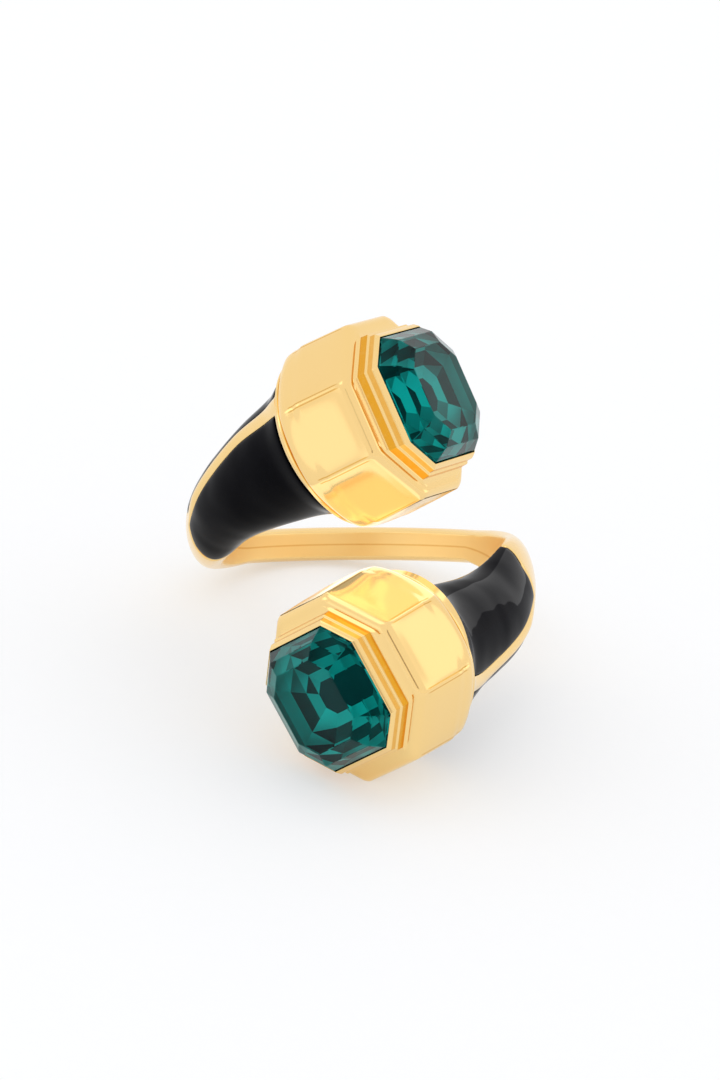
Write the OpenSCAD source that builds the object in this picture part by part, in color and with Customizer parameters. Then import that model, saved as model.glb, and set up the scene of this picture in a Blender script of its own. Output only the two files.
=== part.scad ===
// Open bypass ring in gold, with an octagonal green stone on each end.
// A plain band closes the back. From its two ends rise enamelled arms that pass
// each other at the front, and each arm carries an eight-sided drum with a
// stepped collar round a step-cut stone.
// The shapes are worked out upright, with the finger along Y, the back of the
// band at -Z and the stones at +Z, and then laid down on the table.

/* [Finger hole and band] */
// Radius of the finger hole
finger_r = 8.7; // [8.3:0.1:9]
// Radius of the middle line of the band
band_r = 9.55; // [9.4:0.05:9.7]
// Half of the band's width along the finger
band_half = 1.05; // [0.9:0.05:1.3]
// Half of the angle that the plain band takes up at the back
band_reach = 50; // [46:1:54]

/* [Upper head] */
// Middle of the upper stone's girdle
upper_middle = [2.8, 10.4, 17.5]; // [-30:0.1:30]
// Turn of the upper head to the side, its rise, and its spin on its own axis
upper_aim = [54.9, 23.6, 6.8]; // [-90:0.1:90]

/* [Lower head] */
// Middle of the lower stone's girdle
lower_middle = [-3.1, -7.4, 18.4]; // [-30:0.1:30]
// Turn of the lower head to the side, its rise, and its spin on its own axis
lower_aim = [-43.7, -17.9, 22.7]; // [-90:0.1:90]

/* [Drum and collar] */
// Half of the drum's width across its flats
drum_half = 5.6; // [5.4:0.05:5.8]
// Depth of the drum's front face under the girdle
drum_front = 1.45; // [1.35:0.05:1.6]
// Depth where the drum's corners start to curl in toward the rim
drum_back = 5.5; // [5.2:0.05:5.8]
// Radius of the round rim behind the drum
rim_r = 5.4; // [5.3:0.05:5.5]
// Depth of the back of the rim under the girdle
rim_back = 7.2; // [7:0.05:7.4]
// How much wider the drum is on each side at its back edge
drum_flare = 0.1; // [0:0.02:0.14]
// Radius that rounds the drum's upright corners
drum_corner = 0.4; // [0.3:0.05:1.2]

/* [Stone] */
// Half of the stone's width
stone_half = 4.0; // [3.9:0.05:4.1]
// How much each corner of the stone is cut off along its sides
stone_cut = 1.6; // [1.4:0.05:1.8]

/* [Enamel] */
// Depth of the recesses that hold the enamel
enamel_depth = 0.5; // [0.4:0.05:0.6]
// How far the enamel's face lies under the gold round it
enamel_sunk = 0.03; // [0.01:0.01:0.05]
// Height of the gold ridge over the enamel's face
ridge_rise = 0.16; // [0.05:0.01:0.25]

/* [Fit] */
// Gap between a piece and the gold that holds it
gap = 0.04; // [0.03:0.01:0.06]

/* [Resting place] */
// Turns about X, Y and Z that lay the ring down as it rests by itself
rest_turn = [65.95, -7.87, 7.4]; // [-180:0.01:180]
// Shift that brings the middle of its footprint to the origin
rest_shift = [0.094, 6.644, 5.082]; // [-50:0.001:50]

/* [Hidden] */

// An end is a row: middle, aim, side of the ring that its arm takes (+1 is +X),
// reach of the curve at the band, reach at the head, lift and drop of the curve,
// its first own column of arm_rows, and its column of end_rows
MIDDLE = 0;
AIM = 1;
ARM_SIDE = 2;
REACH = 3;
HEAD_REACH = 4;
LIFT = 5;
DROP = 6;
ARM_COLUMN = 7;
END_COLUMN = 8;
upper = [upper_middle, upper_aim, -1, 8.2, 7.5, -0.05, 0.2, 5, 1];
lower = [lower_middle, lower_aim, 1, 8.2, 8.0, 0.13, 1.6, 6, 2];

// Sections of an arm from the band (at = 0) to the rim of the drum (at = 1).
// out, in and side are half sizes away from the finger, toward it and across
// the arm; lean turns the section about the arm's line; hole keeps the section
// off the finger; shift moves it away from the other head; ridge is the angle of
// the gold ridge. The last three have a column for each arm, two columns apart
OUT = 1;
IN = 2;
LEAN = 3;
HOLE = 4;
TO_SHIFT = 2;
TO_RIDGE = 4;
arm_rows = [
    // at, out, in, lean, hole, side upper, side lower, shift upper, lower, ridge upper, lower
    [0.00, 0.85, 1.25, 0, finger_r - 0.15, band_half, band_half, 0, 0, 0, 0],
    [0.20, 1.00, 1.50, -10, finger_r - 0.15, 1.40, 1.75, 0, -0.25, 8, 14],
    [0.40, 1.40, 1.80, -14, finger_r + 0.03, 2.00, 2.50, 0.10, -0.40, 14, 24],
    [0.60, 2.10, 2.10, -10, finger_r + 0.03, 2.50, 2.85, 0.30, 0.05, 36, 38],
    [0.80, 3.10, 2.60, 0, finger_r + 0.03, 3.35, 3.45, 0.25, 0.15, 46, 42],
    [0.93, 4.10, 3.50, 0, finger_r + 0.03, 4.05, 4.25, 0.10, 0.45, 48, 38],
    [1.00, 5.20, 5.00, 0, finger_r + 0.03, 5.10, 5.10, 0, 0, 43, 34]];

// Where the enamel ends toward the band, by the angle from the ridge
end_rows = [
    // angle, upper arm, lower arm
    [0, 0.460, 0.450],
    [12, 0.440, 0.430],
    [30, 0.412, 0.400],
    [50, 0.396, 0.365],
    [70, 0.388, 0.320],
    [90, 0.392, 0.275],
    [108, 0.410, 0.260],
    [118, 0.440, 0.290],
    [127, 0.480, 0.330],
    [180, 0.500, 0.400]];

// Angles from the ridge's middle, one side: the ridge, the recess, the gold
ridge_edge = 6.5;
recess_start = 8;
recess_end = 124;
gold_start = 127;
recess_steps = 10;
ridge_angles = [0, ridge_edge / 2, ridge_edge];
recess_angles = [for (i = [0 : recess_steps])
    recess_start + (recess_end - recess_start) * i / recess_steps];
gold_angles = [gold_start, 140, 153, 167];
half_turn = concat(ridge_angles, recess_angles, gold_angles);

// Steps along an arm: plain gold, the recess's end wall, the recess, the rim
plain_steps = 5;
end_at = 0.42;
wall_step = 0.008;
rim_wall = 0.985;
length_steps = 14;
recess_ats = [for (i = [0 : length_steps])
    end_at + wall_step + (rim_wall - wall_step - end_at) * i / length_steps];
band_steps = 14;

function unit(v) = v / norm(v);
function mix(a, b, f) = a * (1 - f) + b * f;
function mean(v) = [for (p = v) 1] * v / len(v);

// Smooth value of one column of a table whose first column is the place
function row_before(rows, x, i = 0) =
    i >= len(rows) - 2 || x < rows[i + 1][0] ? i : row_before(rows, x, i + 1);
function row_slope(rows, i, col) =
    let (a = max(i - 1, 0), b = min(i + 1, len(rows) - 1))
    (rows[b][col] - rows[a][col]) / (rows[b][0] - rows[a][0]);
function smooth(rows, x, col) =
    let (i = row_before(rows, x),
         h = rows[i + 1][0] - rows[i][0],
         u = (x - rows[i][0]) / h)
    (2 * u ^ 3 - 3 * u ^ 2 + 1) * rows[i][col]
    + (u ^ 3 - 2 * u ^ 2 + u) * h * row_slope(rows, i, col)
    + (3 * u ^ 2 - 2 * u ^ 3) * rows[i + 1][col]
    + (u ^ 3 - u ^ 2) * h * row_slope(rows, i + 1, col);

// A head's own directions: across, along, and out through the stone
function head_out(aim) =
    [sin(aim[0]) * cos(aim[1]), sin(aim[1]), cos(aim[0]) * cos(aim[1])];
function head_across(aim) =
    let (level = [cos(aim[0]), 0, -sin(aim[0])],
         up = cross(head_out(aim), level))
    level * cos(aim[2]) + up * sin(aim[2]);
function on_head(end, p) =
    let (across = head_across(end[AIM]), out = head_out(end[AIM]))
    end[MIDDLE] + across * p[0] + cross(out, across) * p[1] + out * p[2];

// The line that an arm follows, from the band's end to the rim
function arm_line(end) =
    let (s = end[ARM_SIDE],
         start = [s * band_r * sin(band_reach), 0, -band_r * cos(band_reach)],
         leave = [s * cos(band_reach), -s * end[LIFT], sin(band_reach)],
         out = head_out(end[AIM]),
         rim = end[MIDDLE] - out * rim_back)
    [start, start + leave * end[REACH],
     rim - out * end[HEAD_REACH] - [0, end[DROP], 0], rim];
function line_point(p, t) =
    (1 - t) ^ 3 * p[0] + 3 * (1 - t) ^ 2 * t * p[1] + 3 * (1 - t) * t ^ 2 * p[2] + t ^ 3 * p[3];
function line_way(p, t) =
    unit((1 - t) ^ 2 * (p[1] - p[0]) + 2 * (1 - t) * t * (p[2] - p[1]) + t ^ 2 * (p[3] - p[2]));

// Point on the skin of an arm, at an angle round its section that starts at the
// outside and grows toward the side away from the other head, sunk by a depth
function kept_off(p, r) =
    let (k = max(1, r / norm([p[0], p[2]]))) [p[0] * k, p[1], p[2] * k];
function arm_point(end, line, t, angle, depth) =
    let (on_line = line_point(line, t),
         way = line_way(line, t),
         away = unit([on_line[0], 0, on_line[2]]),
         outward = unit(away - (away * way) * way),
         side = -end[ARM_SIDE] * cross(way, outward)[1] < 0
             ? -cross(way, outward) : cross(way, outward),
         lean = smooth(arm_rows, t, LEAN),
         o = outward * cos(lean) + side * sin(lean),
         s = side * cos(lean) - outward * sin(lean),
         c = on_line + smooth(arm_rows, t, end[ARM_COLUMN] + TO_SHIFT) * s,
         half = smooth(arm_rows, t, cos(angle) > 0 ? OUT : IN),
         across = smooth(arm_rows, t, end[ARM_COLUMN]),
         p = kept_off(c + half * cos(angle) * o + across * sin(angle) * s,
                      smooth(arm_rows, t, HOLE)))
    p + unit(c - p) * depth;

// The same point by its nominal place and its angle from the ridge, so that one
// step follows the enamel's curved end and one column follows the ridge
function arm_place(end, at, from_ridge) =
    let (stop = smooth(end_rows, abs(from_ridge), end[END_COLUMN]))
    at < end_at ? stop * at / end_at
        : stop + (1 - stop) * (at - end_at) / (1 - end_at);
function arm_skin(end, line, at, from_ridge, depth) =
    let (t = arm_place(end, at, from_ridge),
         ridge = smooth(arm_rows, t, end[ARM_COLUMN] + TO_RIDGE))
    arm_point(end, line, t, from_ridge + ridge * (1 - abs(from_ridge) / 180), depth);

// Depth of the gold: the recess, or the ridge's rounded rise where it has grown
function gold_depth(at, from_ridge) =
    let (a = abs(from_ridge))
    a >= recess_start && a <= recess_end
        ? (at > end_at + wall_step / 2 && at < rim_wall + wall_step / 4 ? enamel_depth : 0)
        : a < ridge_edge ? -ridge_rise * (1 - (a / ridge_edge) ^ 2)
            * max(0, min(1, (at - end_at) / 0.1)) : 0;

// Columns round a section, from the finger side and back to it
section_angles = concat([for (i = [len(half_turn) - 1 : -1 : 1]) -half_turn[i]],
                        half_turn, [180]);
function arm_ring(end, line, at) =
    [for (a = section_angles) arm_skin(end, line, at, end[ARM_SIDE] * a, gold_depth(at, a))];

// Last ring of an arm, inside the drum that it is soldered to
weld_depth = 0.6;
weld_r = 4.6;
function weld_ring(end, ring) =
    let (out = head_out(end[AIM]), c = end[MIDDLE] - out * (rim_back - weld_depth))
    [for (p = ring) let (q = p - (p - c) * out * out) c + unit(q - c) * weld_r];

function arm_rings(end) =
    let (line = arm_line(end),
         ats = concat([for (i = [1 : plain_steps]) end_at * i / plain_steps],
                      recess_ats, [rim_wall + wall_step, 1]),
         rings = [for (at = ats) arm_ring(end, line, at)])
    concat(rings, [weld_ring(end, rings[len(rings) - 1])]);

// One ring of the band, at an angle from the middle of the back
function band_ring(turn) =
    [for (a = section_angles)
        let (r = band_r + (cos(a) > 0 ? arm_rows[0][OUT] : arm_rows[0][IN]) * cos(a),
             rr = max(r, arm_rows[0][HOLE]))
        [rr * sin(turn), -band_half * sin(a), -rr * cos(turn)]];

// Closed skin over rings of equally many points
module skin(rings) {
    n = len(rings[0]);
    last = (len(rings) - 1) * n;
    first_cap = last + n;
    last_cap = first_cap + 1;
    points = [for (r = rings) each r, mean(rings[0]), mean(rings[len(rings) - 1])];
    walls = [for (i = [0 : n : last - 1], j = [0 : n - 1])
        let (a = i + j, b = i + (j + 1) % n) each [[a, b + n, b], [a, a + n, b + n]]];
    caps = [for (j = [0 : n - 1])
        let (k = (j + 1) % n) each [[first_cap, j, k], [last_cap, last + k, last + j]]];
    polyhedron(points, concat(walls, caps));
}

// Curved slab between two grids of points, its upper face and its lower face
module slab(top, bottom) {
    m = len(top);
    n = len(top[0]);
    size = m * n;
    points = [for (row = concat(top, bottom)) each row];
    faces = [for (i = [0 : m - 2], j = [0 : n - 2])
        let (a = i * n + j, b = a + 1, c = b + n, d = a + n)
        each [[a, b, c], [a, c, d], [size + a, size + c, size + b], [size + a, size + d, size + c]]];
    edge = concat([for (j = [0 : n - 1]) j], [for (i = [1 : m - 1]) i * n + n - 1],
                  [for (j = [n - 2 : -1 : 0]) (m - 1) * n + j], [for (i = [m - 2 : -1 : 1]) i * n]);
    rim = [for (k = [0 : len(edge) - 1])
        let (a = edge[k], b = edge[(k + 1) % len(edge)])
        each [[a, size + a, size + b], [a, size + b, b]]];
    polyhedron(points, concat(faces, rim));
}

// Octagon with half width w, corners cut by c and rounded by r, steps per corner,
// and a point in the middle of each flat where flats is true
function octagon(w, c, r, steps, flats) =
    let (diagonal = (2 * w - c) / sqrt(2))
    [for (i = [0 : 7])
        let (turn = 45 * i,
             here = i % 2 == 0 ? w : diagonal,
             next = i % 2 == 0 ? diagonal : w,
             along = ((next - r) - (here - r) * cos(45)) / sin(45),
             flat = [cos(turn), sin(turn)],
             corner = flat * (here - r) + [-sin(turn), cos(turn)] * along)
        each concat(flats ? [flat * here] : [],
            [for (k = [0 : steps]) corner + r * [cos(turn + 45 * k / steps), sin(turn + 45 * k / steps)]])];

corner_steps = 3;
regular_cut = 2 - sqrt(2);
function drum_shape(w, corner) = octagon(w, w * regular_cut, corner, corner_steps, true);
function circle_shape(r) = [for (p = drum_shape(drum_half, drum_corner)) unit(p) * r];
function at_depth(shape, depth) = [for (p = shape) [p[0], p[1], -depth]];

// Shape kept within a reach, with a soft change where it meets it
soft_power = 24;
function kept_in(shape, reach) =
    [for (p = shape) unit(p) * (norm(p) ^ -soft_power + reach ^ -soft_power) ^ (-1 / soft_power)];

// Drum from the rim to the front face: the corners curl in first, then the flats
front_round = 0.6;
front_corner = 1.5;
corner_r = 6.25;
rim_edge = 0.12;
rim_height = 0.3;
seam_depth = rim_back - rim_height - 0.05;
seam_r = rim_r - 0.05;
wall_end = drum_front + front_round;
drum_rings = concat(
    [at_depth(circle_shape(rim_r - rim_edge), rim_back),
     at_depth(circle_shape(rim_r), rim_back - rim_edge),
     at_depth(circle_shape(rim_r), rim_back - rim_height)],
    [for (a = [90, 68, 45, 20, 0])
        let (depth = mix(drum_back, seam_depth, sin(a)),
             w = drum_half + drum_flare * (depth - wall_end) / (seam_depth - wall_end))
        at_depth(kept_in(drum_shape(w, drum_corner), mix(seam_r, corner_r, cos(a))), depth)],
    [for (a = [0, 30, 60, 90])
        at_depth(drum_shape(drum_half - front_round * (1 - cos(a)), mix(drum_corner, front_corner, a / 90)),
                 wall_end - front_round * sin(a))]);

// Steps of the collar and the seat under the stone
collar_corner = 0.08;
collar_rows = [
    // half width, half width across the cut corners, depth
    [4.76, 4.92, 1.36],
    [4.54, 4.86, 1.26],
    [4.50, 4.84, 0.74],
    [4.39, 4.76, 0.70],
    [4.35, 4.74, 0.30],
    [4.09, 4.60, 0.01]];
seat_half = stone_half + gap;
seat_diagonal = (2 * seat_half - stone_cut) / sqrt(2);
seat_rows = [
    [seat_half, seat_diagonal, 0.00],
    [seat_half, seat_diagonal, 0.12],
    [3.35, 3.87, 1.15],
    [2.25, 2.78, 2.20],
    [0.70, 0.85, 3.15]];
collar_rings = [for (row = concat(collar_rows, seat_rows))
    at_depth(octagon(row[0], 2 * row[0] - sqrt(2) * row[1], collar_corner, corner_steps, true), row[2])];

// Step-cut stone: half width, corner cut and height over the girdle
stone_rows = [
    [0.5, 0.2, -2.9],
    [2.2, 0.9, -2.0],
    [3.3, 1.35, -1.0],
    [stone_half, stone_cut, -0.08],
    [stone_half, stone_cut, 0.08],
    [3.45, 1.45, 0.85],
    [2.6, 1.1, 1.35]];

module rest() {
    translate(rest_shift) rotate(rest_turn) children();
}

module head_gold(end) {
    skin([for (ring = concat(drum_rings, collar_rings)) [for (p = ring) on_head(end, p)]]);
}

module hoop_gold() {
    upper_rings = arm_rings(upper);
    lower_rings = arm_rings(lower);
    skin(concat([for (i = [len(lower_rings) - 1 : -1 : 0]) lower_rings[i]],
                [for (i = [0 : band_steps]) band_ring(mix(band_reach, -band_reach, i / band_steps))],
                upper_rings));
}

module ring_body() {
    color("goldenrod") rest() difference() {
        union() {
            hoop_gold();
            head_gold(upper);
            head_gold(lower);
        }
        rotate([90, 0, 0]) cylinder(r = finger_r, h = 60, center = true, $fn = 96);
    }
}

// Enamel in one recess: side -1 faces the other head, side 1 faces away
module enamel(end, side) {
    line = arm_line(end);
    inset = 0.9;
    count = len(recess_angles);
    across = [for (i = [0 : count - 1])
        recess_angles[i] + (i == 0 ? inset : i == count - 1 ? -inset : 0)];
    angles = [for (i = [0 : count - 1]) side > 0 ? across[i] : -across[count - 1 - i]];
    ats = [for (i = [0 : length_steps])
        recess_ats[i] + (i == 0 ? wall_step / 2 : i == length_steps ? -wall_step / 2 : 0)];
    top = [for (at = ats) [for (a = angles) arm_skin(end, line, at, a, enamel_sunk)]];
    bottom = [for (at = ats) [for (a = angles) arm_skin(end, line, at, a, enamel_depth - gap)]];
    slab(top, bottom);
}

module upper_gap_enamel() {
    color("black") rest() enamel(upper, -1);
}

module upper_outer_enamel() {
    color("black") rest() enamel(upper, 1);
}

module lower_gap_enamel() {
    color("black") rest() enamel(lower, -1);
}

module lower_outer_enamel() {
    color("black") rest() enamel(lower, 1);
}

module stone(end) {
    skin([for (row = stone_rows)
        [for (p = octagon(row[0], row[1], 0.001, 1, false)) on_head(end, [p[0], p[1], row[2]])]]);
}

module upper_stone() {
    color("teal") rest() stone(upper);
}

module lower_stone() {
    color("teal") rest() stone(lower);
}

ring_body();
upper_gap_enamel();
upper_outer_enamel();
lower_gap_enamel();
lower_outer_enamel();
upper_stone();
lower_stone();
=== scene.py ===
import math

import bmesh
import bpy
import numpy as np
from mathutils import Euler, Matrix, Vector


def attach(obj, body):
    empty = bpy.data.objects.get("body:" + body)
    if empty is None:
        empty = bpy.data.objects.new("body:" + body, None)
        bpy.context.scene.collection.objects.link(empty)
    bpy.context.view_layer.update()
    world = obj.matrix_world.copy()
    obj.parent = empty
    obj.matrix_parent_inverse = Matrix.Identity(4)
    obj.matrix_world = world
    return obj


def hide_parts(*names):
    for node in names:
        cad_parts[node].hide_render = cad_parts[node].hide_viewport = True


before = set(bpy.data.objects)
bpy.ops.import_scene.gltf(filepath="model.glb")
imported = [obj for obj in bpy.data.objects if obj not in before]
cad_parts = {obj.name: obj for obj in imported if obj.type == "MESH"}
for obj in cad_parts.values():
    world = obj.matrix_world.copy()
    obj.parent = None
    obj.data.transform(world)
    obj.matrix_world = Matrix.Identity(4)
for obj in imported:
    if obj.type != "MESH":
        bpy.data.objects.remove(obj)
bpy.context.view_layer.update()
mm = 0.001
print("frame loaded:", ", ".join(sorted(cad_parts)))

ringPlan = {
    "fingerRadius": 8.7,
    "bandRadius": 9.55,
    "bandOut": 0.85,  # from there outward, and inward before the bore is cut
    "bandIn": 1.25,
    "bandHalf": 1.05,
    "bandReach": 50,  # degrees to each side of the back
    "restTurn": (65.95, -7.87, 7.4),  # how the upright ring is laid down
    "restShift": (0.094, 6.644, 5.082),
}
restMatrix = (Matrix.Translation(Vector(ringPlan["restShift"]))
              @ Euler([math.radians(a) for a in ringPlan["restTurn"]], "XYZ").to_matrix().to_4x4())
restArray = np.array(restMatrix)


def layDown(points):  # upright millimetres to the frame's metres
    flat = np.asarray(points, float).reshape(-1, 3)
    return (flat @ restArray[:3, :3].T + restArray[:3, 3]) * mm


# The two ends: the middle of the stone's girdle, the head's aim (turn, rise, spin), and the curve of its arm,
# with the reach of its handles at the band and at the head, the lift of the first and the drop of the second
ends = {
    "upper": {"name": "upper", "middle": (2.8, 10.4, 17.5), "aim": (54.9, 23.6, 6.8),
              "armSide": -1, "reach": 8.2, "headReach": 7.5, "lift": -0.05, "drop": 0.2},
    "lower": {"name": "lower", "middle": (-3.1, -7.4, 18.4), "aim": (-43.7, -17.9, 22.7),
              "armSide": 1, "reach": 8.2, "headReach": 8.0, "lift": 0.13, "drop": 1.6},
}


def unit(v):
    return v / np.linalg.norm(v, axis=-1, keepdims=True)


def smoothAt(table, x, column):  # smooth value of one column at x
    places, values = (np.array(table[name], float) for name in ("at", column))
    slopes = np.empty(len(places))
    slopes[1:-1] = (values[2:] - values[:-2]) / (places[2:] - places[:-2])
    slopes[0] = (values[1] - values[0]) / (places[1] - places[0])
    slopes[-1] = (values[-1] - values[-2]) / (places[-1] - places[-2])
    i = np.clip(np.searchsorted(places, x, side="right") - 1, 0, len(places) - 2)
    h = places[i + 1] - places[i]
    u = (x - places[i]) / h
    return ((2 * u**3 - 3 * u**2 + 1) * values[i] + (u**3 - 2 * u**2 + u) * h * slopes[i]
            + (3 * u**2 - 2 * u**3) * values[i + 1] + (u**3 - u**2) * h * slopes[i + 1])


def headAxes(end):  # across, along and out through the stone
    turn, rise, spin = (math.radians(a) for a in end["aim"])
    out = np.array([math.sin(turn) * math.cos(rise), math.sin(rise), math.cos(turn) * math.cos(rise)])
    level = np.array([math.cos(turn), 0, -math.sin(turn)])
    across = level * math.cos(spin) + np.cross(out, level) * math.sin(spin)
    return np.array([across, np.cross(out, across), out])


def onHead(end, points):
    return np.array(end["middle"]) + np.asarray(points, float) @ headAxes(end)


def gridFaces(rowCount, columnCount, closed=True, flip=False):
    faces = []
    for i in range(rowCount - 1):
        here, following = i * columnCount, (i + 1) * columnCount
        for j in range(columnCount if closed else columnCount - 1):
            k = (j + 1) % columnCount
            quad = (here + j, here + k, following + k, following + j)
            faces.append(quad[::-1] if flip else quad)
    return faces


def closedSkin(rings):  # points and faces of a skin over rings, closed by a face at each end
    count, around = rings.shape[:2]
    faces = gridFaces(count, around)
    faces.append(tuple(range(around))[::-1])
    faces.append(tuple((count - 1) * around + j for j in range(around)))
    return rings.reshape(-1, 3), faces


def makePiece(name, points, faces, sharpAngle=None):
    mesh = bpy.data.meshes.new(name)
    mesh.from_pydata(layDown(points).tolist(), [], faces)
    mesh.validate()
    mesh.polygons.foreach_set("use_smooth", [sharpAngle is not None] * len(mesh.polygons))
    if sharpAngle is not None:
        mesh.set_sharp_from_angle(angle=math.radians(sharpAngle))
    piece = bpy.data.objects.new(name, mesh)
    bpy.context.scene.collection.objects.link(piece)
    return piece


# Arms and band. Angles go round an arm from its ridge, and places go along it from the band (0) to the rim (1).
armPlan = {
    "ridgeEdge": 6.5,
    "ridgeRise": 0.16,
    "ridgeFade": 0.1,
    "recessStart": 8.0,
    "recessEnd": 124.0,
    "goldStart": 127.0,
    "enamelDepth": 0.5,
    "boreGap": 0.03,  # how far the arms stand clear of the bore
    "endAt": 0.42,  # the place given to the enamel's end, wherever that is
    "wallStep": 0.008,
    "rimWall": 0.985,
    "rimBack": 7.2,
    "weldDepth": 0.6,  # how far the arm runs on inside the head
    "weldRadius": 4.6,
    "ridgeSteps": 8,
    "sideSteps": 30,
    "backSteps": 12,
    "backEnd": 176,
    "plainSteps": 40,
    "panelSteps": 110,
    "bandSteps": 73,
}
clearOf = ringPlan["fingerRadius"]
armTable = {  # half sizes out, in and to the side, shift away from the other head, and the ridge's angle
    "at": (0.00, 0.20, 0.40, 0.60, 0.80, 0.93, 1.00),
    "out": (ringPlan["bandOut"], 1.00, 1.40, 2.10, 3.10, 4.10, 5.20),
    "in": (ringPlan["bandIn"], 1.50, 1.80, 2.10, 2.60, 3.50, 5.00),
    "lean": (0, -10, -14, -10, 0, 0, 0),
    "hole": (clearOf, clearOf, *[clearOf + armPlan["boreGap"]] * 5),
    "upperSide": (ringPlan["bandHalf"], 1.40, 2.00, 2.50, 3.35, 4.05, 5.10),
    "lowerSide": (ringPlan["bandHalf"], 1.75, 2.50, 2.85, 3.45, 4.25, 5.10),
    "upperShift": (0, 0, 0.10, 0.30, 0.25, 0.10, 0),
    "lowerShift": (0, -0.25, -0.40, 0.05, 0.15, 0.45, 0),
    "upperRidge": (0, 8, 14, 36, 46, 48, 43),
    "lowerRidge": (0, 14, 24, 38, 38, 28, 20),
}
stopTable = {  # where the enamel ends on each arm, by the angle from the ridge
    "at": (0, 12, 30, 50, 70, 90, 108, 118, 127, 180),
    "upper": (0.460, 0.440, 0.412, 0.396, 0.388, 0.392, 0.410, 0.440, 0.480, 0.500),
    "lower": (0.450, 0.440, 0.440, 0.445, 0.425, 0.410, 0.400, 0.390, 0.385, 0.400),
}


def armLine(end):  # the four points of the curve that an arm follows
    side, reach = end["armSide"], math.radians(ringPlan["bandReach"])
    start = ringPlan["bandRadius"] * np.array([side * math.sin(reach), 0, -math.cos(reach)])
    leave = np.array([side * math.cos(reach), -side * end["lift"], math.sin(reach)])
    out = headAxes(end)[2]
    rim = np.array(end["middle"]) - out * armPlan["rimBack"]
    return start, start + leave * end["reach"], rim - out * end["headReach"] - np.array([0, end["drop"], 0]), rim


def armSkin(end, at, fromRidge, depth):  # points of an arm's skin, sunk by a depth
    at, fromRidge, depth = np.broadcast_arrays(at, fromRidge, depth)
    arm, endAt = end["name"], armPlan["endAt"]
    stop = smoothAt(stopTable, abs(fromRidge), arm)
    t = np.where(at < endAt, stop * at / endAt, stop + (1 - stop) * (at - endAt) / (1 - endAt))
    around = np.radians(fromRidge + smoothAt(armTable, t, arm + "Ridge") * (1 - abs(fromRidge) / 180))
    p0, p1, p2, p3 = armLine(end)
    s = t[..., None]
    centre = (1 - s)**3 * p0 + 3 * (1 - s)**2 * s * p1 + 3 * (1 - s) * s**2 * p2 + s**3 * p3
    way = unit((1 - s)**2 * (p1 - p0) + 2 * (1 - s) * s * (p2 - p1) + s**2 * (p3 - p2))
    away = unit(centre * np.array([1, 0, 1]))
    outward = unit(away - (away * way).sum(-1, keepdims=True) * way)
    aside = np.cross(way, outward)
    aside = np.where(-end["armSide"] * aside[..., 1:2] < 0, -aside, aside)
    lean = np.radians(smoothAt(armTable, t, "lean"))[..., None]
    o = outward * np.cos(lean) + aside * np.sin(lean)
    a = aside * np.cos(lean) - outward * np.sin(lean)
    thick = np.where(np.cos(around) > 0, smoothAt(armTable, t, "out"), smoothAt(armTable, t, "in"))
    wide = smoothAt(armTable, t, arm + "Side")
    centre = centre + smoothAt(armTable, t, arm + "Shift")[..., None] * a
    p = centre + (thick * np.cos(around))[..., None] * o + (wide * np.sin(around))[..., None] * a
    push = np.maximum(1, smoothAt(armTable, t, "hole") / np.hypot(p[..., 0], p[..., 2]))[..., None]
    p = p * np.concatenate([push, np.ones_like(push), push], -1)
    return p + unit(centre - p) * depth[..., None]


wallFraction = [0.3, 0.6, 0.85, 1.0]  # how a recess's rounded lip goes down
wallDepth = [0.03, 0.10, 0.30, 1.0]


def stepDown(x, start, end):  # 0 at start, 1 at end, with a rounded lip at start
    return np.interp((x - start) / (end - start), [0] + wallFraction, [0] + wallDepth)


def goldDepth(at, fromRidge):
    plan = armPlan
    a = abs(fromRidge)
    across = np.minimum(stepDown(a, plan["ridgeEdge"], plan["recessStart"]),
                        stepDown(-a, -plan["goldStart"], -plan["recessEnd"]))
    along = np.minimum(stepDown(at, plan["endAt"], plan["endAt"] + plan["wallStep"]),
                       stepDown(-at, -plan["rimWall"] - plan["wallStep"], -plan["rimWall"]))
    ridge = (plan["ridgeRise"] * np.clip(1 - (a / plan["ridgeEdge"])**2, 0, 1)
             * np.clip((at - plan["endAt"]) / plan["ridgeFade"], 0, 1))
    return plan["enamelDepth"] * across * along - ridge


def goldAngles():
    plan = armPlan
    lip = plan["recessStart"] - plan["ridgeEdge"]
    back = plan["goldStart"] - plan["recessEnd"]
    half = np.concatenate([
        np.linspace(0, plan["ridgeEdge"], plan["ridgeSteps"]),
        plan["ridgeEdge"] + lip * np.array(wallFraction),
        np.linspace(plan["recessStart"], plan["recessEnd"], plan["sideSteps"])[1:],
        plan["goldStart"] - back * np.array(wallFraction[::-1])[1:],
        np.linspace(plan["goldStart"], plan["backEnd"], plan["backSteps"])])
    return np.concatenate([-half[:0:-1], half, [180]])


def goldPlaces():
    plan = armPlan
    step = np.array(wallFraction) * plan["wallStep"]
    return np.concatenate([
        np.linspace(0, plan["endAt"], plan["plainSteps"])[1:],
        plan["endAt"] + step,
        np.linspace(plan["endAt"] + plan["wallStep"], plan["rimWall"], plan["panelSteps"])[1:],
        plan["rimWall"] + plan["wallStep"] - step[::-1][1:],
        [plan["rimWall"] + plan["wallStep"], 1.0]])


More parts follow.
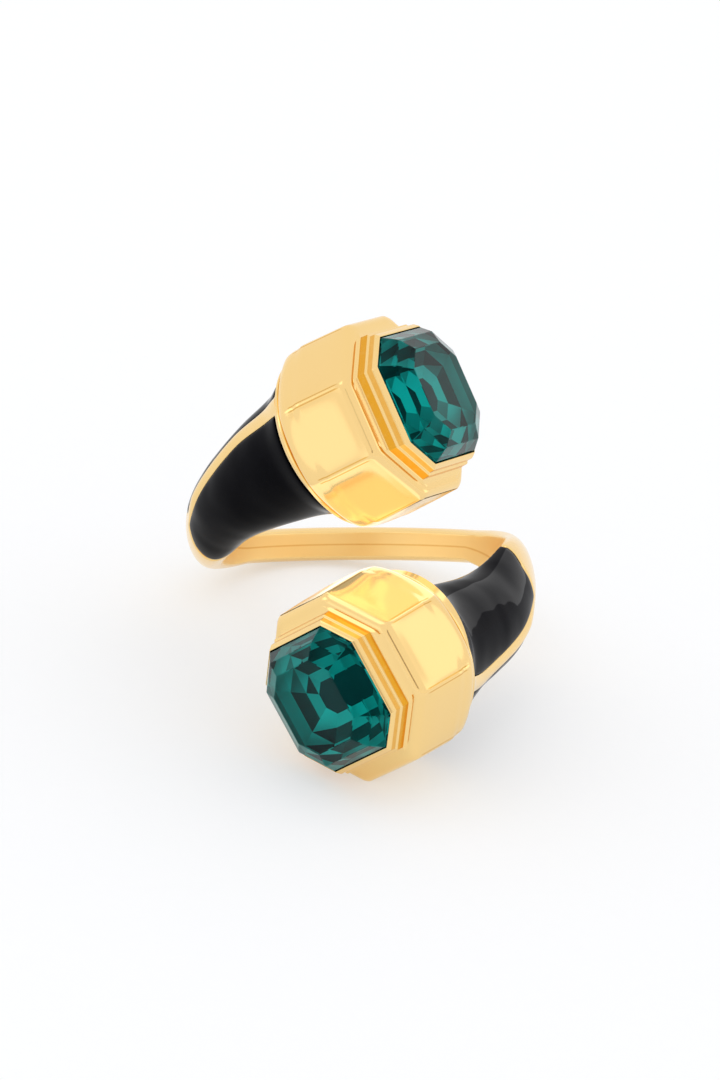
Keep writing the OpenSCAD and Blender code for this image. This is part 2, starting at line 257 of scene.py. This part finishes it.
def hoopPoints():  # rings of the lower arm, the band and the upper arm, as one skin
    angles, places = goldAngles(), goldPlaces()
    arms = {}
    for end in ends.values():
        turned = end["armSide"] * angles
        skin = armSkin(end, places[:, None], turned[None, :], goldDepth(places[:, None], turned[None, :]))
        out = headAxes(end)[2]
        centre = np.array(end["middle"]) - out * (armPlan["rimBack"] - armPlan["weldDepth"])
        last = skin[-1]
        weld = last - ((last - centre) @ out)[:, None] * out
        weld = centre + unit(weld - centre) * armPlan["weldRadius"]
        arms[end["name"]] = np.concatenate([skin, weld[None]])
    a = np.radians(angles)
    thick = np.where(np.cos(a) > 0, ringPlan["bandOut"], ringPlan["bandIn"])
    radius = np.maximum(ringPlan["bandRadius"] + thick * np.cos(a), clearOf)
    turns = np.radians(np.linspace(ringPlan["bandReach"], -ringPlan["bandReach"], armPlan["bandSteps"]))
    band = [np.stack([radius * math.sin(turn), -ringPlan["bandHalf"] * np.sin(a), -radius * math.cos(turn)], -1)
            for turn in turns]
    return np.concatenate([arms["lower"][::-1], np.array(band), arms["upper"]])


# Heads: rim, drum, stepped collar and seat. Depths go back from the stone's girdle.
headPlan = {
    "half": 5.6,
    "flare": 0.1,  # how much wider the drum is at its back
    "corner": 0.4,
    "bulge": 0.09,  # of the drum's flats, and how squarely it is filled
    "pillow": 5,
    "front": 1.45,
    "frontRound": 0.6,
    "frontCorner": 1.1,
    "shoulderAt": 5.5,
    "shoulderBlend": 24,
    "cornerRadius": 6.25,
    "rimRadius": 5.4,
    "rimBack": armPlan["rimBack"],
    "rimFront": 6.9,
    "rimRound": 0.14,
    "rimFoot": 0.3,
    "rimFace": 0.2,
    "rimSlope": 0.03,
    "seamSink": 0.05,
    "regularCut": 2 - math.sqrt(2),
    "collarCorner": 0.07,
    "collarRound": 0.05,
    "flatSteps": 20,
    "cornerSteps": 8,
    "rimSteps": 6,
    "curlSteps": 16,
    "wallSteps": 13,
    "frontSteps": 10,
    "sharpAngle": 38,
}
collarRows = [  # half width, half width across the cut corners, depth
    (4.76, 4.92, 1.36),
    (4.54, 4.86, 1.28),
    (4.51, 4.84, 0.72),
    (4.36, 4.74, 0.66),
    (4.33, 4.72, 0.28),
    (4.11, 4.60, 0.01),
    (4.04, 4.55, 0.00),
    (4.035, 4.55, 0.12),
    (3.35, 3.87, 1.15),
    (2.25, 2.78, 2.20),
    (0.70, 0.85, 3.15)]


def octagon(half, cut, corner):  # points round it, and how far each is into its flat, 0 at the corners
    diagonal = (2 * half - cut) / math.sqrt(2)
    points, middles = [], []
    for i in range(8):
        here, following = (half, diagonal) if i % 2 == 0 else (diagonal, half)
        turn = math.radians(45 * i)
        normal = np.array([math.cos(turn), math.sin(turn)])
        along = np.array([-math.sin(turn), math.cos(turn)])
        reach = ((following - corner) - (here - corner) * math.cos(math.pi / 4)) / math.sin(math.pi / 4)
        for u in np.sin(np.linspace(-math.pi / 2, math.pi / 2, headPlan["flatSteps"] + 1)[1:-1]):
            points.append(normal * here + along * reach * u)
            middles.append(1 - abs(u)**headPlan["pillow"])
        for step in range(headPlan["cornerSteps"] + 1):
            a = turn + math.pi / 4 * step / headPlan["cornerSteps"]
            points.append(normal * (here - corner) + along * reach + corner * np.array([math.cos(a), math.sin(a)]))
            middles.append(0)
    return np.array(points), np.array(middles)


def atDepth(points, depth):
    return np.concatenate([points, np.full((len(points), 1), -depth)], 1)


def drumRing(half, depth, bulge=0.0, corner=headPlan["corner"], reach=99.0):  # kept within the reach, if one is given
    points, middles = octagon(half, half * headPlan["regularCut"], corner)
    points = points + unit(points) * (middles * bulge)[:, None]
    far, blend = np.linalg.norm(points, axis=1, keepdims=True), headPlan["shoulderBlend"]
    return atDepth(points / far * (far**-blend + reach**-blend)**(-1 / blend), depth)


def roundRing(radius, depth):
    points, middles = octagon(headPlan["half"], headPlan["half"] * headPlan["regularCut"], headPlan["corner"])
    return atDepth(unit(points) * radius, depth)


def collarRing(half, diagonal, depth):
    points, middles = octagon(half, 2 * half - math.sqrt(2) * diagonal, headPlan["collarCorner"])
    return atDepth(points, depth)


def softProfile(corners, radius, steps=4):  # a broken line with each inner corner rounded
    soft = [corners[0]]
    for before, here, after in zip(corners, corners[1:], corners[2:]):
        before, here, after = (np.array(p) for p in (before, here, after))
        back, on = before - here, after - here
        r = min(radius, 0.45 * np.linalg.norm(back), 0.45 * np.linalg.norm(on))
        a, b = here + unit(back) * r, here + unit(on) * r
        for u in np.linspace(0, 1, steps):
            soft.append(tuple((1 - u)**2 * a + 2 * (1 - u) * u * here + u**2 * b))
    return soft + [corners[-1]]


def headRings():  # rings from the back of the rim, over the drum and collar, to the bottom of the seat
    plan = headPlan
    rim = softProfile([(plan["rimRadius"] - plan["rimFoot"], plan["rimBack"]),
                       (plan["rimRadius"], plan["rimBack"]),
                       (plan["rimRadius"], plan["rimFront"]),
                       (plan["rimRadius"] - plan["rimFace"], plan["rimFront"] - plan["rimSlope"])],
                      plan["rimRound"], plan["rimSteps"])
    rings = [roundRing(radius, depth) for radius, depth in rim]
    wide, seam = plan["half"] + plan["flare"], plan["rimFront"] - plan["seamSink"]
    wallEnd = plan["front"] + plan["frontRound"]
    inner = plan["rimRadius"] - plan["seamSink"]

    def wallRing(depth, v, reach=99.0):  # v goes from -1 at the seam to 1 at the front
        return drumRing(wide + (plan["half"] - wide) * (v + 1) / 2, depth,
                        plan["bulge"] * (1 - abs(v)**plan["pillow"]), reach=reach)

    for a in np.radians(np.linspace(90, 0, plan["curlSteps"])):  # the drum's corners curl in to the round seam
        depth = plan["shoulderAt"] + (seam - plan["shoulderAt"]) * math.sin(a)
        rings.append(wallRing(depth, (seam - depth) / (seam - wallEnd) * 2 - 1,
                              inner + (plan["cornerRadius"] - inner) * math.cos(a)))
    shoulder = (seam - plan["shoulderAt"]) / (seam - wallEnd) * 2 - 1
    for v in np.linspace(shoulder, 1, plan["wallSteps"])[1:]:
        rings.append(wallRing(seam + (wallEnd - seam) * (v + 1) / 2, v))
    for a in np.linspace(0, 90, plan["frontSteps"])[1:]:
        b = math.radians(a)
        rings.append(drumRing(plan["half"] - plan["frontRound"] * (1 - math.cos(b)),
                              wallEnd - plan["frontRound"] * math.sin(b),
                              corner=plan["corner"] + a / 90 * plan["frontCorner"]))
    rings += [collarRing(*row) for row in softProfile(collarRows, plan["collarRound"])]
    return np.array(rings)


# Painted light on the gold: painted amber reflection and painted dark shade, from 0 to 1, and the satin of the bore
paintedShadePlan = {
    "collarBack": 1.33,
    "steepFrom": 0.68,
    "steepFade": 0.2,
    "topStepDepth": 0.69,
    "topStepShade": 0.75,
    "seatRings": 3,  # from the bezel's edge to the painted black shadow in the seat
    # painted reflection lines at the drum's corners, painted shade in the seam, and a painted reflection line along
    # the bore
    "crease": 0.7,
    "creaseDark": 0.1,
    "creaseReach": 0.3,
    "seam": 0.9,
    "seamReach": 0.06,
    "boreLine": 0.6,
    "boreLineDark": 0.15,
    "boreLineReach": 0.7,
    "satinReach": 0.12,
    "satinFade": 0.08,
}


def paintedHeadShades(rings):  # painted amber reflection on the collar's steep walls, painted amber and dark reflection lines at the drum's corners, painted amber shade in the seam, painted black shadow in the seat
    plan = paintedShadePlan
    paintedAmberShade, paintedDarkShade = np.zeros(rings.shape[:2]), np.zeros(rings.shape[:2])
    half, depth = rings[:, 0, 0], -rings[:, 0, 2]
    steep = abs(np.gradient(depth)) / (abs(np.gradient(depth)) + abs(np.gradient(half)) + 1e-9)
    top = int(np.argmin(depth))
    collar = (depth < plan["collarBack"]) & (np.arange(len(depth)) < top)
    # painted amber reflection on the collar's steep walls, less on the top step
    paintedAmberShade[collar] = (np.clip((steep[collar, None] - plan["steepFrom"]) / plan["steepFade"], 0, 1)
                     * np.where(depth[collar, None] > plan["topStepDepth"], 1, plan["topStepShade"]))
    # painted black shadow in the seat, behind the stone's edge
    paintedDarkShade[top + plan["seatRings"]:] = 1
    around = np.arange(rings.shape[1]) % (headPlan["flatSteps"] + headPlan["cornerSteps"])
    first, last = headPlan["flatSteps"] - 1, headPlan["flatSteps"] + headPlan["cornerSteps"] - 1
    crease = np.isin(around, (first, first + 1, last - 1, last))
    drum = ((depth > headPlan["front"] + headPlan["frontRound"])
            & (depth < headPlan["shoulderAt"] + plan["creaseReach"]))
    # painted amber and dark reflection lines along the drum's corners
    paintedAmberShade[np.ix_(drum, crease)] = plan["crease"]
    paintedDarkShade[np.ix_(drum, crease)] = plan["creaseDark"]
    # painted amber shade in the seam between rim and drum
    paintedAmberShade[abs(depth - headPlan["rimFront"]) < plan["seamReach"]] = plan["seam"]
    return paintedAmberShade.ravel(), paintedDarkShade.ravel()


def hoopPaintedLineAndSatin(points):  # a painted amber and dark reflection line along the middle of the bore, and the bore's satin
    plan = paintedShadePlan
    # the painted reflection line, amber and a little dark
    line = np.zeros((len(points) // len(goldAngles()), len(goldAngles())))
    line[:, -1] = plan["boreLine"]
    line[abs(np.linspace(-1, 1, len(line))) > plan["boreLineReach"]] = 0
    fromAxis = np.hypot(points[:, 0], points[:, 2])
    satin = np.clip((clearOf + plan["satinReach"] - fromAxis) / plan["satinFade"], 0, 1)
    return line.ravel(), plan["boreLineDark"] * line.ravel(), satin


# Gold: the band and arms, and a head on each end
hoopSkin, hoopFaces = closedSkin(hoopPoints())
headRows = headRings()
headSkin, headFaces = closedSkin(headRows)
goldPoints, goldFaces = [hoopSkin], list(hoopFaces)
paintedAmberShades, paintedDarkShades, boreShades = ([paintedFacetShade] for paintedFacetShade in hoopPaintedLineAndSatin(hoopSkin))
offset = len(hoopSkin)
for end in ends.values():
    goldPoints.append(onHead(end, headSkin))
    goldFaces += [tuple(offset + v for v in face) for face in headFaces]
    offset += len(headSkin)
    paintedAmberShade, paintedDarkShade = paintedHeadShades(headRows)
    paintedAmberShades.append(paintedAmberShade)
    paintedDarkShades.append(paintedDarkShade)
    boreShades.append(np.zeros(len(headSkin)))
ringGold = makePiece("ring_gold", np.concatenate(goldPoints), goldFaces, headPlan["sharpAngle"])
# the painted amber and dark shades, and the bore's satin, go onto the gold's points
for shadeName, shades in (("paintedAmberShade", paintedAmberShades), ("paintedDarkShade", paintedDarkShades), ("bore", boreShades)):
    attribute = ringGold.data.attributes.new(shadeName, "FLOAT", "POINT")
    attribute.data.foreach_set("value", np.concatenate(shades))
print("gold:", len(ringGold.data.polygons), "faces")

# Enamel: a domed fill in each recess, drawn down a little at its edges
enamelPlan = {
    "sideGap": 0.35,  # degrees
    "endGap": 0.0025,  # of the arm's length
    "bottomGap": 0.04,
    "dome": 0.07,
    "domeReach": 1.1,
    "meniscus": 0.05,
    "meniscusReach": 0.08,
    "degreeLength": 0.055,  # rough lengths of a degree and of an arm
    "armLength": 19.0,
    "acrossSteps": 61,
    "alongSteps": 91,
    "crowding": 1.9,
    "sharpAngle": 50,
}


def crowdedEnds(start, end, count, crowd):  # places from start to end, closer together near both
    u = np.linspace(-1, 1, count)
    return start + (end - start) * (0.5 + 0.5 * np.sign(u) * (1 - (1 - abs(u))**crowd))


def enamelPiece(name, end, side):
    plan = enamelPlan
    low, high = armPlan["recessStart"] + plan["sideGap"], armPlan["recessEnd"] - plan["sideGap"]
    first, last = armPlan["endAt"] + armPlan["wallStep"] + plan["endGap"], armPlan["rimWall"] - plan["endGap"]
    angles = crowdedEnds(low, high, plan["acrossSteps"], plan["crowding"])
    places = crowdedEnds(first, last, plan["alongSteps"], plan["crowding"])
    fromSide = np.minimum(angles - low, high - angles)[None, :] * plan["degreeLength"]
    fromEnd = np.minimum(places - first, last - places)[:, None] * plan["armLength"]
    inside = fromSide * fromEnd / np.maximum(np.hypot(fromSide, fromEnd), 1e-9)
    depth = (plan["meniscus"] * np.exp(-inside / plan["meniscusReach"])
             - plan["dome"] * (1 - np.exp(-inside / plan["domeReach"])))
    top = armSkin(end, places[:, None], side * angles[None, :], depth)
    bottom = armSkin(end, places[:, None], side * angles[None, :], armPlan["enamelDepth"] - plan["bottomGap"])
    rowCount, columnCount = top.shape[:2]
    size = rowCount * columnCount
    flip = side > 0
    faces = gridFaces(rowCount, columnCount, closed=False, flip=flip)
    faces += [tuple(size + v for v in face)
              for face in gridFaces(rowCount, columnCount, closed=False, flip=not flip)]
    edge = ([(0, j) for j in range(columnCount)]
            + [(i, columnCount - 1) for i in range(1, rowCount)]
            + [(rowCount - 1, j) for j in range(columnCount - 2, -1, -1)]
            + [(i, 0) for i in range(rowCount - 2, 0, -1)])
    edge = [i * columnCount + j for i, j in edge]
    for a, b in zip(edge, edge[1:] + edge[:1]):
        wall = (a, size + a, size + b, b)
        faces.append(wall[::-1] if flip else wall)
    return makePiece(name, np.concatenate([top.reshape(-1, 3), bottom.reshape(-1, 3)]), faces, plan["sharpAngle"])


enamels = {}
for endName, end in ends.items():
    for sideName, side in (("gap", -1), ("outer", 1)):
        node = f"{endName}_{sideName}_enamel"
        enamels[node] = enamelPiece(node + "_fill", end, side)
print("enamel:", len(enamels), "fills")

# Stones: an octagonal step-cut crown, and a back of four steps, with split corner facets and a flat end
stonePlan = {
    "half": 3.965,
    "cut": 1.6,
    "girdle": 0.08,
    "crown": ((2.6, 1.1, 1.35), (3.45, 1.45, 0.85)),  # half width, cut, height, from the table down
    "backSteps": ((3.3, 1.45, -0.8), (2.55, 1.2, -1.5), (1.75, 0.9, -2.15), (1.05, 0.6, -2.55)),
    # painted light and shade of the back's facets, standing in for the stone's inner reflections
    "stepShades": (0.5, 1.1, 0.12, 1.0),  # how light each step's facets are painted
    "stepVariation": (0.7, 1.15),
    "cornerShades": (1.2, 0.9, 0.4, 0.05),  # painted corner facet shades, picked from by chance
    "culetShade": 0.03,
    "edge": 0.03,
    "seed": 4,
}


def plainOctagon(half, cut, height):
    inner = half - cut
    return [(half, -inner, height), (half, inner, height), (inner, half, height), (-inner, half, height),
            (-half, inner, height), (-half, -inner, height), (-inner, -half, height), (inner, -half, height)]


def stonePiece(name, end):
    plan = stonePlan
    girdle = [(plan["half"], plan["cut"], height) for height in (plan["girdle"], -plan["girdle"])]
    rows = [*plan["crown"], *girdle, *plan["backSteps"]]
    points = [point for row in rows for point in plainOctagon(*row)]
    backRow = len(plan["crown"]) + 1
    faces = [tuple(range(8))]
    for row in range(len(rows) - 1):
        here, following = row * 8, (row + 1) * 8
        for j in range(8):
            k = (j + 1) % 8
            a, b, c, d = here + j, following + j, following + k, here + k
            if row >= backRow and j % 2:
                faces += [(a, b, c), (a, c, d)]
            else:
                faces.append((a, b, c, d))
    faces.append(tuple(range(len(points) - 1, len(points) - 9, -1)))
    crownCount, stepCount = 1 + 8 * backRow, 8 + 4  # facets up to the girdle's back, and in one step of the back
    piece = makePiece(name, onHead(end, points), faces)
    chance = np.random.default_rng(plan["seed"])
    # painted light and shade of each back facet
    paintedFacetShade = piece.data.attributes.new("paintedFacetShade", "FLOAT", "FACE")
    for polygon in piece.data.polygons:
        back = polygon.index - crownCount
        polygon.material_index = 0 if back < 0 else 1
        if back < 0:
            value = 1.0
        elif polygon.index == len(faces) - 1:
            value = plan["culetShade"]
        elif len(polygon.vertices) == 3:
            value = chance.choice(plan["cornerShades"])
        else:
            value = plan["stepShades"][back // stepCount] * chance.uniform(*plan["stepVariation"])
        paintedFacetShade.data[polygon.index].value = value
    cut = bmesh.new()  # polished-off edges on the crown
    cut.from_mesh(piece.data)
    edges = [edge for edge in cut.edges if all(face.index < crownCount for face in edge.link_faces)]
    bmesh.ops.bevel(cut, geom=edges, offset=plan["edge"] * mm, segments=1, affect="EDGES", clamp_overlap=True)
    cut.to_mesh(piece.data)
    cut.free()
    return piece


stones = {f"{endName}_stone": stonePiece(f"{endName}_stone_cut", end) for endName, end in ends.items()}
print("stones:", len(stones))


# Materials
class Wire:  # a socket with arithmetic
    def __init__(self, recipe, socket):
        self.recipe, self.socket = recipe, socket

    def work(self, operation, *values):
        node = self.recipe.node("ShaderNodeMath", {"operation": operation}, dict(enumerate(values)))
        return Wire(self.recipe, node.outputs[0])

    def __add__(self, other): return self.work("ADD", self, other)
    def __radd__(self, other): return self.work("ADD", other, self)
    def __mul__(self, other): return self.work("MULTIPLY", self, other)
    def __rmul__(self, other): return self.work("MULTIPLY", other, self)


class Recipe:  # a node tree and the one way to add a node to it
    def __init__(self, tree):
        self.tree = tree
        tree.nodes.clear()

    def node(self, kind, settings=None, sockets=None):
        made = self.tree.nodes.new(kind)
        for name, value in (settings or {}).items():
            setattr(made, name, value)
        for name, value in (sockets or {}).items():
            if isinstance(value, Wire):
                self.tree.links.new(value.socket, made.inputs[name])
            else:
                made.inputs[name].default_value = value
        return made

    def wire(self, kind, output=0, settings=None, sockets=None):
        return Wire(self, self.node(kind, settings, sockets).outputs[output])

    def noise(self, scale, detail):
        place = self.wire("ShaderNodeTexCoord", "Object")
        return self.wire("ShaderNodeTexNoise", "Fac", None, {"Vector": place, "Scale": scale, "Detail": detail})

    def painted(self, name):  # a shade that the mesh carries
        return self.wire("ShaderNodeAttribute", "Fac", {"attribute_name": name})

    def bumps(self, height, strength, distance):
        return self.wire("ShaderNodeBump", "Normal", None,
                         {"Height": height, "Strength": strength, "Distance": distance})

    def between(self, factor, first, second):  # two colours, plain or wires, mixed by a wire
        first, second = (c if isinstance(c, Wire) else (*c, 1) for c in (first, second))
        return self.wire("ShaderNodeMix", 2, {"data_type": "RGBA"}, {0: factor, 6: first, 7: second})


def makeMaterial(name, build):
    material = bpy.data.materials.new(name)
    material.use_nodes = True
    recipe = Recipe(material.node_tree)
    shader = recipe.node("ShaderNodeBsdfPrincipled")
    recipe.node("ShaderNodeOutputMaterial", None, {"Surface": Wire(recipe, shader.outputs[0])})
    for socket, value in build(recipe).items():
        if isinstance(value, Wire):
            recipe.tree.links.new(value.socket, shader.inputs[socket])
        else:
            shader.inputs[socket].default_value = value
    return material


goldFinish = {
    "colours": ((0.92, 0.64, 0.265), (0.94, 0.67, 0.285)),
    # colours of the painted amber reflection and of the painted dark shade
    "paintedAmberShade": (0.78, 0.37, 0.03),
    "paintedDarkShade": (0.012, 0.010, 0.008),
    "cloud": (140, 2),  # scale and detail of each noise
    "fine": (2600, 3),
    "amberGrain": (0.75, 0.5),  # least painted amber, and what the fine grain adds
    "roughness": (0.11, 0.05, 0.02, 0.25),  # least, and what cloud, fine grain and the bore's satin add
    "waviness": (0.02, 0.0002),
}


def polishedGold(recipe):
    plan = goldFinish
    cloud, fine = recipe.noise(*plan["cloud"]), recipe.noise(*plan["fine"])
    paintedAmberShade, paintedDarkShade, bore = (recipe.painted(name) for name in ("paintedAmberShade", "paintedDarkShade", "bore"))
    plain = recipe.between(cloud, *plan["colours"])
    leastAmber, grained = plan["amberGrain"]
    # painted amber reflection and shade, mixed in where the mesh carries it
    amberShaded = recipe.between(paintedAmberShade * (leastAmber + grained * fine), plain, plan["paintedAmberShade"])
    least, clouded, grained, satin = plan["roughness"]
    return {
        # painted dark shade and shadow, mixed in where the mesh carries it
        "Base Color": recipe.between(paintedDarkShade, amberShaded, plan["paintedDarkShade"]),
        "Metallic": 1.0,
        "Roughness": least + clouded * cloud + grained * fine + satin * bore,
        "Normal": recipe.bumps(cloud, *plan["waviness"]),
    }


enamelFinish = {
    "colours": ((0.0006, 0.0006, 0.001), (0.0018, 0.0018, 0.0028)),
    "wave": (260, 1),
    "speck": (3000, 2),
    "roughness": (0.03, 0.04),  # least, and what the waves add
    "mirror": 0.015,
    "waviness": (0.5, 0.0004),
}


def blackEnamel(recipe):
    plan = enamelFinish
    wave, speck = recipe.noise(*plan["wave"]), recipe.noise(*plan["speck"])
    least, waved = plan["roughness"]
    return {
        "Base Color": recipe.between(speck, *plan["colours"]),
        "Roughness": least + waved * wave,
        "IOR": 1.5,
        "Specular IOR Level": plan["mirror"],
        "Normal": recipe.bumps(wave, *plan["waviness"]),
    }


glassFinish = {
    "colours": ((0.002, 0.32, 0.295), (0.003, 0.365, 0.335)),
    "cloud": (400, 2),
    "bending": 1.58,
    "mirror": (0.03, 0.04, 0.06),
}


def greenGlass(recipe):
    plan = glassFinish
    return {
        "Base Color": recipe.between(recipe.noise(*plan["cloud"]), *plan["colours"]),
        "Roughness": 0.0,
        "IOR": plan["bending"],
        "Specular Tint": (*plan["mirror"], 1),
        "Transmission Weight": 1.0,
    }


paintedFacetFinish = {
    "colours": ((0.02, 0.03, 0.035), (0.9, 1.0, 0.98)),  # of the darkest and the lightest painted facets
    "cloud": (500, 2),
    "clouding": 0.06,
    "roughness": 0.3,
}


# a metal back whose colour paints each facet's light and shade
def paintedFacetBack(recipe):
    plan = paintedFacetFinish
    paintedFacetShade = recipe.painted("paintedFacetShade") + plan["clouding"] * recipe.noise(*plan["cloud"])
    return {
        "Base Color": recipe.between(paintedFacetShade, *plan["colours"]),
        "Metallic": 1.0,
        "Roughness": plan["roughness"],
    }


gold = makeMaterial("polished_gold", polishedGold)
enamel = makeMaterial("black_enamel", blackEnamel)
glass = makeMaterial("green_glass", greenGlass)
paintedBack = makeMaterial("painted_facet_back", paintedFacetBack)
print("materials made")

ringGold.data.materials.append(gold)
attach(ringGold, "root")
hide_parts("ring_body")
for node, piece in enamels.items():
    piece.data.materials.append(enamel)
    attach(piece, "root")
    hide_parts(node)
for node, piece in stones.items():
    piece.data.materials.append(glass)
    piece.data.materials.append(paintedBack)
    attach(piece, "root")
    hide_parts(node)
print("pieces dressed")

# Table: it glows a little, so that it comes out white and keeps its shadow
tablePlan = {
    "half": 0.6,  # metres
    "colour": (0.58, 0.595, 0.62),
    "grain": (900, 2),
    "grainDark": 0.985,
    "glow": (0.40, 0.40, 0.40),
}
tableHalf = tablePlan["half"]
tableCorners = [(-tableHalf, -tableHalf, 0), (tableHalf, -tableHalf, 0),
                (tableHalf, tableHalf, 0), (-tableHalf, tableHalf, 0)]
tableMesh = bpy.data.meshes.new("table")
tableMesh.from_pydata(tableCorners, [], [(0, 1, 2, 3)])
table = bpy.data.objects.new("table", tableMesh)
bpy.context.scene.collection.objects.link(table)


def paleTable(recipe):
    plan = tablePlan
    darker = [plan["grainDark"] * c for c in plan["colour"]]
    return {
        "Base Color": recipe.between(recipe.noise(*plan["grain"]), darker, plan["colour"]),
        "Roughness": 0.7,
        "Specular IOR Level": 0.1,
        "Emission Color": (*plan["glow"], 1),
        "Emission Strength": 1.0,
    }


tableMesh.materials.append(makeMaterial("pale_table", paleTable))

# The camera looks at the upright ring from a little left and above, from 350 mm away
cameraPlan = {
    "azimuth": -3.0,
    "elevation": 3.5,
    "distance": 350.0,
    "pixelsPerMm": 16.19,
    "ringPixel": (364.0, 553.1),  # where the middle of the finger hole falls in the picture
    "picture": (720, 1080),
    "sensor": 36.0,
}
turn, rise = math.radians(cameraPlan["azimuth"]), math.radians(cameraPlan["elevation"])
back = Vector((math.sin(turn) * math.cos(rise), math.sin(rise), math.cos(turn) * math.cos(rise)))
right = Vector((math.cos(turn), 0, -math.sin(turn)))
up = back.cross(right)
width, height = cameraPlan["picture"]
offsetX = (cameraPlan["ringPixel"][0] - width / 2) / cameraPlan["pixelsPerMm"]
offsetY = (height / 2 - cameraPlan["ringPixel"][1]) / cameraPlan["pixelsPerMm"]
viewpoint = back * cameraPlan["distance"] - right * offsetX - up * offsetY
pose = restMatrix @ Matrix((
    (right.x, up.x, back.x, viewpoint.x),
    (right.y, up.y, back.y, viewpoint.y),
    (right.z, up.z, back.z, viewpoint.z),
    (0, 0, 0, 1)))
cameraData = bpy.data.cameras.new("camera")
cameraData.sensor_fit = "HORIZONTAL"
cameraData.sensor_width = cameraPlan["sensor"]
cameraData.lens = cameraPlan["sensor"] * cameraPlan["distance"] * cameraPlan["pixelsPerMm"] / width
cameraData.clip_start, cameraData.clip_end = 0.01, 10
camera = bpy.data.objects.new("camera", cameraData)
camera.matrix_world = pose
camera.location = pose.translation * mm
bpy.context.scene.collection.objects.link(camera)
bpy.context.scene.camera = camera
bpy.context.scene.view_settings.view_transform = "Standard"
print("table and camera placed")

# Room: a white tent with a dim opening round the place of the camera
roomPlan = {
    "tent": (1.0, 0.99, 0.98),
    "opening": (0.28, 0.18, 0.10),
    "openingEdge": (4, 9),  # half angles where its dim middle ends and where it is gone
}
world = bpy.data.worlds.new("soft_room")
bpy.context.scene.world = world
world.use_nodes = True
room = Recipe(world.node_tree)
direction = room.wire("ShaderNodeTexCoord", "Generated")
facing = room.wire("ShaderNodeVectorMath", "Value", {"operation": "DOT_PRODUCT"},
                   {0: direction, 1: (restMatrix.to_3x3() @ back).normalized()})
inner, outer = (math.cos(math.radians(a)) for a in roomPlan["openingEdge"])
opening = room.wire("ShaderNodeMapRange", "Result", {"interpolation_type": "SMOOTHSTEP"},
                    {"Value": facing, "From Min": outer, "From Max": inner})
glow = room.between(opening, roomPlan["tent"], roomPlan["opening"])
backdrop = room.wire("ShaderNodeBackground", 0, None, {"Color": glow, "Strength": 1.0})
room.node("ShaderNodeOutputWorld", None, {"Surface": backdrop})

# Lamps: most shine in the gold alone or in the enamel alone. A strength of 1 adds a little more than the tent's white.
lampPlan = {
    # name: what it lights, upright direction, upright place that it faces, distance, size, strength (all mm)
    "left": ("gold", (-0.86, -0.25, 0.44), (-2.6, 7.9, 17.5), 60, 27, 0.15),
    "right": ("gold", (0.89, 0.46, 0.03), (2.8, -4.1, 19.7), 150, 66, 0.24),
    "above": ("gold", (0.13, 0.85, -0.51), (-1.2, -1.2, 17.6), 3.5, 11, 0.42),
    "below": ("gold", (-0.07, -0.99, -0.11), (-1.2, 4.8, 18.6), 3.5, 10, 0.30),
    "edge_left": ("gold", (-0.93, 0.22, 0.03), (-2.2, 11.3, 21.1), 150, 45, 0.5),
    "edge_right": ("gold", (0.97, 0.02, -0.24), (2.3, -6.9, 21.6), 150, 35, 0.4),
    "arm_left": ("enamel", (-0.5, -0.68, -0.5), (-8.0, 3.0, 11.0), 25, 20, 2.2),
    "arm_right": ("enamel", (0.5, 0.45, -0.7), (8.5, -1.0, 6.0), 60, 36, 1.4),
    "strip_top": ("enamel", (0.14, 0.90, 0.40), (0, 0, 0), 300, 80, 45.0),
    "strip_left": ("enamel", (-0.85, 0.52, 0.10), (0, 0, 0), 300, 80, 35.0),
    "strip_right": ("enamel", (0.90, 0.43, 0.10), (0, 0, 0), 300, 80, 35.0),
    "key": ("all", (-0.5, 0.8, 0.4), (0, 0, 0), 600, 300, 0.4),
}
hollowPlan = {"place": (0, 0, -2.5), "radius": 4.5, "strength": 0.15}  # a soft ball in the finger hole
lit = {}
for kind, pieces in (("gold", [ringGold]), ("enamel", enamels.values())):
    lit[kind] = bpy.data.collections.new("lit_" + kind)
    for piece in pieces:
        lit[kind].objects.link(piece)


def addLamp(lampName, light, place, kind):
    lamp = bpy.data.objects.new(lampName, light)
    lamp.location = layDown(place)[0]
    lamp.visible_camera = False
    if kind in lit:
        lamp.light_linking.receiver_collection = lit[kind]
    bpy.context.scene.collection.objects.link(lamp)
    return lamp


hollow = bpy.data.lights.new("hollow", "POINT")
hollow.shadow_soft_size = hollowPlan["radius"] * mm
hollow.energy = 4 * math.pi**2 * hollowPlan["strength"] * hollow.shadow_soft_size**2
addLamp("hollow", hollow, hollowPlan["place"], "gold")
for lampName, (kind, aim, faced, distance, size, strength) in lampPlan.items():
    light = bpy.data.lights.new(lampName, "AREA")
    light.shape = "SQUARE"
    light.size, light.energy = size * mm, 4 * strength * (size * mm)**2
    aim = Vector(aim).normalized()
    lamp = addLamp(lampName, light, Vector(faced) + aim * distance, kind)
    lamp.rotation_euler = (restMatrix.to_3x3() @ aim).to_track_quat("Z", "Y").to_euler()
print("lamps placed")
